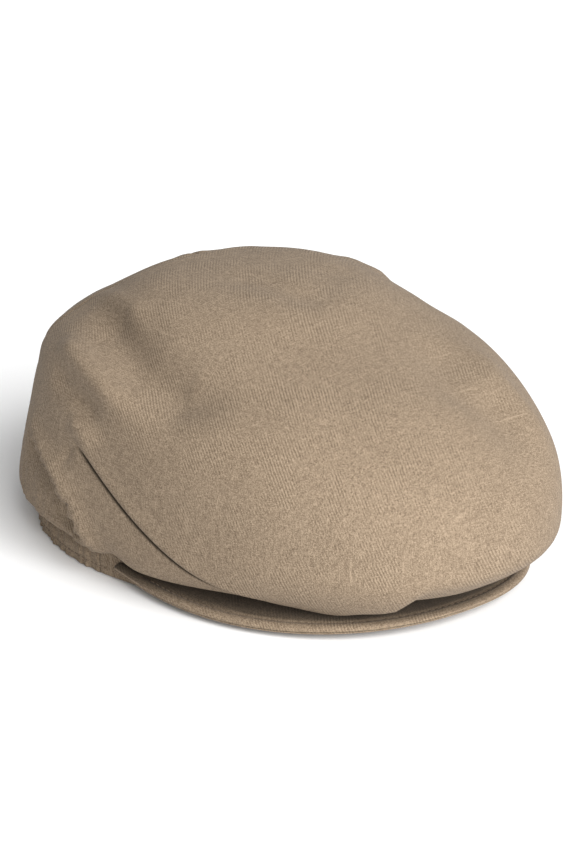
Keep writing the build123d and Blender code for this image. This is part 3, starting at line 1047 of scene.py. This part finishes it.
# ---- ring ------------------------------------------------------------------------------
@dataclass
class Ring:
    """The headband and sweatband round the head opening (mm)."""

    wardrobe: Wardrobe
    half_width: float = 87.0
    half_length: float = 103.5
    split_y: float = -10.0
    band_top: float = 14.6
    rise: float = 0.0227
    columns: int = 480
    sweat_depth: float = 2.3
    cloth: float = 0.5
    gather_height: float = 1.1
    sewn_heights: Tuple[float, float] = (3.2, 10.0)
    mean_radius: float = 0.095
    tab_flat: Tuple[float, float] = (0.0112, 0.0235)

    def oval(self, inset: float, turns: np.ndarray) -> np.ndarray:
        """Points of the ring's oval, moved in by an inset."""
        wide, long = self.half_width - inset, self.half_length - inset
        return np.stack([wide * np.sin(turns), -long * np.cos(turns)], -1)

    def strip(self, turns: np.ndarray, profile: Sequence[Tuple[float, float]],
              shape: Optional[Callable[[np.ndarray], np.ndarray]] = None,
              closed: bool = False) -> bmesh.types.BMesh:
        """Sweep a profile round the ring.

        Args:
            turns: Turns in radians from the front.
            profile: Pairs of inset and height, outwards face first.
            shape: Extra outward lift for points.
            closed: Whether the last turn joins the first.

        Returns:
            The strip's mesh in mm.
        """
        mesh = bmesh.new()
        rows = []
        for inset, height in profile:
            flat = self.oval(inset, turns)
            points = np.column_stack([flat, np.full(len(turns), height)])
            if shape is not None:
                out = np.column_stack([np.sin(turns), -np.cos(turns), np.zeros(len(turns))])
                points = points + out * shape(points)[:, None]
            rows.append([mesh.verts.new(p) for p in points])
        count = len(turns)
        for lower, upper in zip(rows, rows[1:]):
            for c in range(count if closed else count - 1):
                n = (c + 1) % count
                mesh.faces.new((lower[c], lower[n], upper[n], upper[c]))
        bmesh.ops.recalc_face_normals(mesh, faces=mesh.faces)
        return mesh

    def side_turn(self) -> float:
        """The turn at which the band's front piece meets the gathered one."""
        return math.acos(-self.split_y / self.half_length)

    def band_shape(self, points: np.ndarray) -> np.ndarray:
        """The gathers and the two sewn rows of the band."""
        height = points[:, 2]
        lift = gather_lift(points, self.gather_height)
        rear = smooth_step(-22.0, 4.0, points[:, 1])
        for row in self.sewn_heights:
            held = np.exp(-(((height - row) / 1.1) ** 2))
            lift = lift * (1 - 0.6 * held) - 0.45 * held * rear
        puff = 0.5 * np.exp(-(((height - 6.5) / 2.2) ** 2)) * rear
        flare = 0.6 * rear * (1.0 - smooth_step(2.0, 15.0, height))
        return lift + puff + flare

    def band(self) -> None:
        """Make the front and the gathered lengths of the headband."""
        meet = self.side_turn()
        heights = np.linspace(0.6, self.band_top + 2.2, 22)
        profile = [(1.6, 4.0), (1.4, 1.2), (0.9, 0.25), (0.35, 0.15), (0.05, 0.35)]
        profile += [(0.0, float(h)) for h in heights]
        spans = (("headband_front", -meet, meet, 220, Hold.FOLDED),
                 ("headband_gathered", meet, 2 * math.pi - meet, 620, Hold.GATHERED))
        for name, start, end, count, hold in spans:
            turns = np.linspace(start, end, count)
            mesh = self.strip(turns, profile, self.band_shape)
            thing = object_from_bmesh(name + "_cloth", mesh)
            self.wrap_ring_uv(thing)
            area = flat_area(thing)
            thicken(thing, self.cloth * MM)
            dress(thing, self.wardrobe[TWILL])
            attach(thing, BODY)
            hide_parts(name)
            width = self.profile_length(profile)
            declare_strip(width, area)
            LOG.info("%s: cut %.0f x %.0f mm", thing.name, width / MM, area / width / MM)

    @staticmethod
    def profile_length(profile: Sequence[Tuple[float, float]]) -> float:
        """The length of a profile in metres."""
        return float(np.sum(np.linalg.norm(np.diff(np.array(profile), axis=0), axis=1))) * MM

    def band_threads(self) -> None:
        """Sew the two rows round the gathered band."""
        meet = self.side_turn()
        turns = np.linspace(meet - 0.05, 2 * math.pi - meet + 0.05, 1500)
        out = np.column_stack([np.sin(turns), -np.cos(turns), np.zeros(len(turns))])
        for name, height in zip(("hem_stitching", "band_top_stitching"), self.sewn_heights):
            flat = self.oval(0.0, turns)
            points = np.column_stack([flat, np.full(len(turns), height)])
            points = points + out * self.band_shape(points)[:, None]
            thing = StitchRow(2.2, 0.8, 0.24).build(name + "_thread", points, out)
            dress(thing, self.wardrobe[THREAD])
            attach(thing, BODY)
            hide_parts(name)

    def sweatband(self) -> None:
        """Make the sweatband with its rolled edges, and the tab over its join."""
        turns = np.linspace(0, 2 * math.pi, self.columns, endpoint=False)
        d = self.sweat_depth
        profile = [(d + 0.2, 27.4), (d + 0.5, 28.0), (d + 0.9, 27.4), (d + 1.0, 26.0)]
        profile += [(d + 1.0, float(h)) for h in np.linspace(24.0, 3.0, 10)]
        profile += [(d + 0.9, 1.6), (d + 0.5, 1.0), (d + 0.1, 1.4)]
        mesh = self.strip(turns, profile, lambda p: 0.12 * np.sin(p[:, 0] * 0.35 + p[:, 2] * 0.2),
                          closed=True)
        thing = object_from_bmesh("sweatband_cloth", mesh)
        width = self.profile_length(profile)
        self.wrap_ring_uv(thing)
        area = flat_area(thing)
        thicken(thing, 0.35 * MM)
        dress(thing, self.wardrobe[SWEATBAND])
        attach(thing, BODY)
        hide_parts("sweatband")
        declare_strip(width, area)
        turns = np.linspace(math.pi - 0.055, math.pi + 0.055, 24)
        profile = [(d + 1.5, 25.6), (d + 1.6, 25.0), (d + 1.6, 5.0), (d + 1.5, 4.4)]
        profile = [(d + 1.35, 25.9)] + profile + [(d + 1.35, 4.1)]
        tab = object_from_bmesh("sweatband_join_tab_cloth", self.strip(turns, profile))
        self.wrap_ring_uv(tab)
        area = flat_area(tab)
        thicken(tab, 0.3 * MM)
        dress(tab, self.wardrobe[SWEATBAND])
        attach(tab, BODY)
        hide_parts("sweatband_join_tab")

    def wrap_ring_uv(self, thing: bpy.types.Object) -> None:
        """Lay a ring strip's weave along it: round the ring and up it."""
        data = thing.data
        layer = data.uv_layers.active or data.uv_layers.new(name="UVMap")
        for face in data.polygons:
            corners = [data.vertices[data.loops[k].vertex_index].co for k in face.loop_indices]
            turns = [math.atan2(c.x, -c.y) for c in corners]
            if max(turns) - min(turns) > math.pi:
                turns = [t + 2 * math.pi if t < 0 else t for t in turns]
            for k, turn, corner in zip(face.loop_indices, turns, corners):
                layer.data[k].uv = (turn * self.mean_radius, corner.z)


# ---- lining ----------------------------------------------------------------------------
@dataclass
class Lining:
    """The lining's top and sides and the blank label, hung inside the crown."""

    wardrobe: Wardrobe
    form: CrownForm = field(default_factory=lambda: CrownForm(stations=(
        (0.00, 0.0, 24.6, 0.0, 85.0, 101.4, 101.4, 2.0, 2.0),
        (0.10, 0.0, 32.0, 0.0, 84.6, 101.5, 99.5, 2.0, 2.0),
        (0.30, -3.0, 50.0, 0.0, 84.4, 110.0, 95.5, 2.0, 2.0),
        (0.52, -5.0, 72.0, 0.0, 80.0, 104.5, 85.0, 2.0, 2.0),
        (0.72, -4.0, 89.0, 0.0, 66.5, 82.5, 67.0, 2.0, 1.95),
        (0.88, -3.0, 101.0, 0.0, 38.5, 47.0, 37.0, 2.0, 1.95),
        (1.00, -2.0, 105.0, 0.0, 0.0, 0.0, 0.0, 2.0, 2.0))))
    seam_height: float = 86.0
    columns: int = 220
    rows: int = 74

    def wrinkles(self, points: np.ndarray) -> np.ndarray:
        """Loose soft waves of the lining and the pull of its round seam."""
        x, y, z = points.T
        waves = 0.55 * np.sin(x * 0.11 + z * 0.05) * np.sin(y * 0.085 + 1.0)
        waves += 0.4 * np.sin(np.arctan2(x, -y) * 23 + z * 0.03) * smooth_step(80, 30, z)
        seam = groove(z - self.seam_height, 0.9, 0.4, 0.0)
        middle = groove(x, 0.8, 0.35, 0.0) * (z < self.seam_height)
        return -0.6 + waves - seam - middle

    def build(self) -> None:
        """Make the three lining pieces and the label."""
        keys = np.linspace(0.0, 0.985, self.rows)
        turns = np.linspace(0.0, 2.0 * math.pi, self.columns, endpoint=False)
        points = self.form.surface(keys, turns)
        mesh = bmesh.new()
        grid = [[mesh.verts.new(p) for p in row] for row in points]
        crest = mesh.verts.new(self.form.surface(np.array([1.0]), np.array([0.0]))[0, 0])
        for r in range(len(grid) - 1):
            for c in range(self.columns):
                n = (c + 1) % self.columns
                mesh.faces.new((grid[r][c], grid[r][n], grid[r + 1][n], grid[r + 1][c]))
        for c in range(self.columns):
            mesh.faces.new((grid[-1][c], grid[-1][(c + 1) % self.columns], crest))
        for offset in GROOVE_CUTS[2:-2]:
            every = list(mesh.verts) + list(mesh.edges) + list(mesh.faces)
            bmesh.ops.bisect_plane(mesh, geom=every, dist=1e-4,
                                   plane_co=(0, 0, self.seam_height + offset),
                                   plane_no=(0, 0, 1))
            every = list(mesh.verts) + list(mesh.edges) + list(mesh.faces)
            bmesh.ops.bisect_plane(mesh, geom=every, dist=1e-4, plane_co=(offset, 0, 0),
                                   plane_no=(1, 0, 0))
        bmesh.ops.recalc_face_normals(mesh, faces=mesh.faces)
        mesh.normal_update()
        places = np.array([v.co for v in mesh.verts])
        normals = np.array([v.normal for v in mesh.verts])
        if np.sum(normals * (places - np.array([0.0, 0.0, 50.0]))) < 0:
            bmesh.ops.reverse_faces(mesh, faces=mesh.faces)
            normals = -normals
        moved = places + normals * self.wrinkles(places)[:, None]
        for vert, place in zip(mesh.verts, moved):
            vert.co = place
        mesh.normal_update()
        top = self.seam_height
        choices = (("lining_top", lambda c: c.z > top, 0.0),
                   ("lining_side_left", lambda c: c.z < top and c.x > 0, 0.0),
                   ("lining_side_right", lambda c: c.z < top and c.x < 0, 0.0),
                   ("blank_label", lambda c: 42 < c.z < 60 and abs(c.x) < 22 and c.y > 0, -0.8))
        for name, inside, shift in choices:
            part = mesh.copy()
            loose = [f for f in part.faces if not inside(f.calc_center_median())]
            bmesh.ops.delete(part, geom=loose, context="FACES")
            normals_now = {v: v.normal.copy() for v in part.verts}
            for vert in part.verts:
                vert.co += normals_now[vert] * shift
            thing = object_from_bmesh(name + "_cloth", part)
            size = unwrap_cloth(thing, ((0, 0.1, 0.05), (0, 0.08, 0.08)))
            area = flat_area(thing)
            thicken(thing, 0.3 * MM)
            is_label = name == "blank_label"
            dress(thing, self.wardrobe[LABEL if is_label else LINING])
            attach(thing, BODY)
            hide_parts(name)
            declare_sheet(size, area)
        mesh.free()
        LOG.info("lining done")


# ---- peak ------------------------------------------------------------------------------
@dataclass
class Peak:
    """The peak: a stiff arched board between two covers, sewn round its edge (mm)."""

    wardrobe: Wardrobe
    half_width: float = 89.0
    turning: float = 4.0
    crown_edge: Tuple[float, float] = (95.0, 148.0)
    middle_y: float = -40.0
    reach: float = 106.0
    tip_y: float = -24.0
    square: float = 2.12
    front_z: float = 8.0
    slope: float = 0.08
    arch: float = 860.0
    top_cloth: float = 0.9
    board: float = 1.6
    under_cloth: float = 0.7
    stitch_inset: float = 4.2
    room_wide: float = 87.6
    room_long: float = 106.5
    steps: int = 260
    shares: Tuple[float, ...] = (0.0, 0.04, 0.1, 0.18, 0.26, 0.34, 0.42, 0.5, 0.58, 0.66, 0.74, 0.82)
    cloth: float = 0.5
    top_ripple: float = 0.12
    under_ripple: float = 0.08
    # These set where and how darkly shade is painted onto the covers.
    edge_depth: float = 1.2
    overhang_shade: float = 0.78
    seam_shade: float = 0.7
    seam_line: float = 0.7
    band_edge: Tuple[float, float] = (86.9, 103.4)
    flange_reach: float = 0.9
    flange_drop: float = 1.7
    flange_rise: float = 2.4
    flange_top: float = 13.6
    flange_cut: float = 0.010
    flange_run: float = 0.006

    def top_z(self, x: np.ndarray, y: np.ndarray) -> np.ndarray:
        """Height of the peak's upper surface."""
        return self.front_z + self.slope * (y - self.middle_y + self.reach) - x * x / self.arch

    def outer(self, inset: float) -> np.ndarray:
        """The outer edge's plan from the wearer's right tip to the left one."""
        wide, reach = self.half_width - inset, self.reach - inset
        turn = np.linspace(0.0, math.pi, self.steps - 20)
        power = 2.0 / self.square
        x = -wide * np.sign(np.cos(turn)) * np.abs(np.cos(turn)) ** power
        y = self.middle_y - reach * np.abs(np.sin(turn)) ** power
        side = np.linspace(self.tip_y, self.middle_y, 11)[:-1]
        x = np.concatenate([np.full(10, -wide), x, np.full(10, wide)])
        y = np.concatenate([side, y, side[::-1]])
        return np.column_stack([x, y])

    def inner(self, edge: np.ndarray) -> np.ndarray:
        """The inner edge's plan, matched to the outer edge by its turn."""
        share = np.linspace(-1.0, 1.0, len(edge))
        limit = math.acos(-self.tip_y / self.room_long)
        turn = share * limit
        return np.column_stack([self.room_wide * np.sin(turn), -self.room_long * np.cos(turn)])

    def sheet(self, levels: Sequence[Tuple[float, float]], rolls: Sequence[Tuple[float, float]],
              ripple: float) -> bmesh.types.BMesh:
        """A cover: rows across the peak, then round its edge.

        Args:
            levels: Pairs of the share from inner to outer edge and the depth under the top.
            rolls: Pairs of inset and depth that turn the cover round the edge.
            ripple: Height of faint unevenness in the cloth.

        Returns:
            The cover's mesh in mm.
        """
        outer = self.outer(rolls[0][0])
        inner = self.inner(outer)
        mesh = bmesh.new()
        rows = []
        for share, depth in levels:
            plan = inner + (outer - inner) * share
            z = self.top_z(plan[:, 0], plan[:, 1]) - depth
            z = z + ripple * np.sin(plan[:, 0] * 0.13) * np.sin(plan[:, 1] * 0.17 + 0.6)
            rows.append(np.column_stack([plan, z]))
        for inset, depth in rolls:
            plan = self.outer(inset)
            z = self.top_z(plan[:, 0], plan[:, 1]) - depth
            rows.append(np.column_stack([plan, z]))
        verts = [[mesh.verts.new(p) for p in row] for row in rows]
        for a, b in zip(verts, verts[1:]):
            for k in range(len(a) - 1):
                mesh.faces.new((a[k], a[k + 1], b[k + 1], b[k]))
        bmesh.ops.recalc_face_normals(mesh, faces=mesh.faces)
        return mesh

    def covers(self) -> None:
        """Make the two covers."""
        total = self.top_cloth + self.board + self.under_cloth
        seam = self.stitch_inset
        near = [(seam + 3.0, 0.0), (seam + 1.5, -0.1), (seam + 0.7, 0.1), (seam + 0.3, 0.5),
                (seam, 0.75), (seam - 0.3, 0.5), (seam - 0.7, 0.05), (seam - 1.4, -0.22),
                (seam - 2.2, -0.22), (seam - 3.0, 0.0), (0.35, 0.3), (0.1, 0.75), (0.0, 1.3),
                (0.05, 1.9)]
        top_levels = [(share, 0.0) for share in self.shares]
        low_near = [(seam + 1.5, total), (seam, total - 0.05), (2.0, total + 0.02),
                    (0.8, total - 0.1), (0.3, total - 0.45), (0.12, total - 0.9)]
        under_levels = [(share, total) for share in self.shares]
        jobs = (("peak_top_cover", top_levels, near, 1.0, self.top_ripple),
                ("peak_under_cover", under_levels, low_near, -1.0, self.under_ripple))
        for name, levels, rolls, up, ripple in jobs:
            mesh = self.sheet(levels, rolls, ripple)
            if sum(f.normal.z for f in mesh.faces) * up < 0:
                bmesh.ops.reverse_faces(mesh, faces=mesh.faces)
            thing = object_from_bmesh(name + "_cloth", mesh)
            size = self.lay_flat(thing)
            area = flat_area(thing)
            thicken(thing, self.cloth * MM)
            self.shade_under_crown(thing)
            dress(thing, self.wardrobe[TWILL])
            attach(thing, PEAK_BODY)
            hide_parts(name)
            declare_sheet(size, area)
            LOG.info("%s: cut %.0f x %.0f mm", thing.name, size[0] / MM, size[1] / MM)

    def shade_under_crown(self, thing: bpy.types.Object) -> None:
        """Paint shade onto the part of a cover that the crown's front hangs over, and along its sewn
        row.
        """
        wide, long = self.crown_edge
        layer = thing.data.attributes.new("painted_shade", "FLOAT", "POINT")
        place = np.zeros(len(thing.data.vertices) * 3)
        thing.data.vertices.foreach_get("co", place)
        x, y, z = place.reshape(-1, 3).T / MM
        share = np.hypot(x / wide, y / long)
        above = z > self.top_z(x, y) - self.edge_depth
        inset = self.half_width - self.stitch_inset
        row = np.hypot(x / inset, (y - self.middle_y) / (self.reach - self.stitch_inset))
        sewn = self.seam_shade * np.exp(-(((row - 1.0) * inset / self.seam_line) ** 2))
        covered = self.overhang_shade * above * smooth_step(1.03, 0.95, share)
        shade = np.maximum(covered, sewn)
        layer.data.foreach_set("value", shade.astype(np.float32))

    def lay_flat(self, thing: bpy.types.Object) -> Tuple[float, float]:
        """Lay a cover's weave over its plan, with its warp from front to back."""
        data = thing.data
        layer = data.uv_layers.active or data.uv_layers.new(name="UVMap")
        for loop in data.loops:
            place = data.vertices[loop.vertex_index].co
            layer.data[loop.index].uv = (place.x, place.y + place.z)
        wide = 2 * (self.half_width + self.turning)
        return wide * MM, (self.reach - self.middle_y + self.tip_y + self.turning) * MM

    def edge_threads(self) -> None:
        """Sew the row round the peak's edge."""
        plan = self.outer(self.stitch_inset)
        plan = plan[12:-12]
        z = self.top_z(plan[:, 0], plan[:, 1]) - 0.55
        path = np.column_stack([plan, z])
        up = np.column_stack([2 * plan[:, 0] / self.arch, np.full(len(plan), -self.slope),
                              np.ones(len(plan))])
        thing = StitchRow(2.5, 0.8, 0.27).build("peak_edge_stitching_thread", path, up)
        dress(thing, self.wardrobe[THREAD])
        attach(thing, PEAK_BODY)
        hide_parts("peak_edge_stitching")

    def seam_flange(self) -> None:
        """The seam allowance that joins the peak to the headband."""
        share = np.linspace(-1.0, 1.0, 160)
        limit = math.acos(-self.tip_y / self.room_long) * 0.985
        turn = share * limit
        near_wide, near_long = self.band_edge
        rows = []
        for step in np.linspace(0.0, 1.0, 9):
            wide = near_wide + (self.room_wide + self.flange_reach - near_wide) * step
            long = near_long + (self.room_long + self.flange_reach - near_long) * step
            x = wide * np.sin(turn)
            y = -long * np.cos(turn)
            low = self.top_z(x, y) - self.flange_drop
            rise = np.minimum(self.flange_rise, self.flange_top - low)
            z = low + (1.0 - step) ** 1.5 * rise
            rows.append(np.column_stack([x, y, z]))
        mesh = bmesh.new()
        verts = [[mesh.verts.new(p) for p in row] for row in rows]
        for a, b in zip(verts, verts[1:]):
            for k in range(len(a) - 1):
                mesh.faces.new((a[k], a[k + 1], b[k + 1], b[k]))
        bmesh.ops.recalc_face_normals(mesh, faces=mesh.faces)
        thing = object_from_bmesh("peak_seam_allowance", mesh)
        unwrap_cloth(thing, ((0.0, -0.1034, 0.012), (0.0, -0.1065, 0.010)))
        area = flat_area(thing)
        thicken(thing, self.cloth * MM)
        dress(thing, self.wardrobe[TWILL])
        area / self.flange_run
        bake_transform(thing)


# ---- pieces kept from the frame --------------------------------------------------------
def dress_hidden_pieces(wardrobe: Wardrobe) -> None:
    """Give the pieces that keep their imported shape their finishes."""
    finishes = {"headband_stiffener": BUCKRAM, "back_elastic": ELASTIC, "peak_board": BOARD}
    for node, finish in finishes.items():
        for thing in bpy.data.objects:
            if thing.type == "MESH" and thing.name.split(".")[0].split("|")[-1] == node:
                thing.data.materials.clear()
                thing.data.materials.append(wardrobe[finish])
                LOG.info("%s dressed", thing.name)


# ---- studio ----------------------------------------------------------------------------
@dataclass(frozen=True)
class Lamp:
    """A far, soft studio light that shines evenly from a direction."""

    name: str
    towards: Point
    softness: float
    strength: float
    colour: Point = (1.0, 1.0, 1.0)

    def build(self) -> None:
        """Hang the light."""
        data = bpy.data.lights.new(self.name, "SUN")
        data.angle = math.radians(self.softness)
        data.energy = self.strength
        data.color = self.colour
        lamp = bpy.data.objects.new(self.name, data)
        lamp.location = self.towards
        lamp.rotation_euler = (-Vector(self.towards)).to_track_quat("-Z", "Y").to_euler()
        bpy.context.scene.collection.objects.link(lamp)


@dataclass
class Studio:
    """The pale floor, the lights and the camera."""

    azimuth: float = -39.0
    elevation: float = 20.0
    lens: float = 100.0
    distance: float = 1.052
    target: Point = (0.0, -0.0155, 0.0517)
    slide_right: float = 0.0092
    slide_up: float = -0.0059
    floor_size: float = 12.0
    floor_z: float = -0.0002
    room_light: float = 0.40
    key: Lamp = Lamp("key", (-0.10, -0.87, 0.48), 50.0, 6.0)

    def build(self) -> None:
        """Set up the studio."""
        self.floor()
        self.lights()
        self.camera()

    def floor(self) -> None:
        """Lay a wide, plain, pale floor just under the cap."""
        bpy.ops.object.select_all(action="DESELECT")
        bpy.ops.mesh.primitive_plane_add(size=self.floor_size, location=(0.0, 0.0, self.floor_z))
        floor = bpy.context.object
        floor.name = "studio_floor"
        made = bpy.data.materials.new("studio_floor")
        made.use_nodes = True
        shader = made.node_tree.nodes["Principled BSDF"]
        shader.inputs["Base Color"].default_value = (0.93, 0.93, 0.93, 1.0)
        shader.inputs["Roughness"].default_value = 0.9
        shader.inputs["Specular IOR Level"].default_value = 0.1
        floor.data.materials.append(made)

    def lights(self) -> None:
        """A broad soft key from the front, and a white room for fill."""
        world = bpy.data.worlds.new("studio")
        world.use_nodes = True
        back = world.node_tree.nodes["Background"]
        back.inputs["Color"].default_value = (1.0, 1.0, 1.0, 1.0)
        back.inputs["Strength"].default_value = self.room_light
        bpy.context.scene.world = world
        bpy.context.scene.view_settings.view_transform = "Standard"
        self.key.build()

    def camera(self) -> None:
        """Place the camera at the object's three-quarter view."""
        turn, rise = math.radians(self.azimuth), math.radians(self.elevation)
        back = Vector((math.sin(turn) * math.cos(rise), -math.cos(turn) * math.cos(rise),
                       math.sin(rise)))
        right = Vector((math.cos(turn), math.sin(turn), 0.0))
        up = right.cross(-back)
        place = Vector(self.target) + back * self.distance
        place += right * self.slide_right + up * self.slide_up
        data = bpy.data.cameras.new("camera")
        data.lens = self.lens
        data.sensor_width = 36.0
        data.clip_end = 50.0
        camera = bpy.data.objects.new("camera", data)
        camera.location = place
        camera.rotation_euler = (-back).to_track_quat("-Z", "Y").to_euler()
        bpy.context.scene.collection.objects.link(camera)
        bpy.context.scene.camera = camera


def main() -> None:
    """Build the cap and its studio."""
    logging.basicConfig(level=logging.INFO, format="%(message)s")
    Studio().build()
    wardrobe = Wardrobe()
    Crown(CrownCloth(folds=CROWN_FOLDS + CROWN_RIMS), wardrobe).panels()
    ring = Ring(wardrobe)
    ring.band()
    ring.band_threads()
    ring.sweatband()
    Lining(wardrobe).build()
    peak = Peak(wardrobe)
    peak.covers()
    peak.edge_threads()
    peak.seam_flange()
    dress_hidden_pieces(wardrobe)


if __name__ == "__main__":
    main()
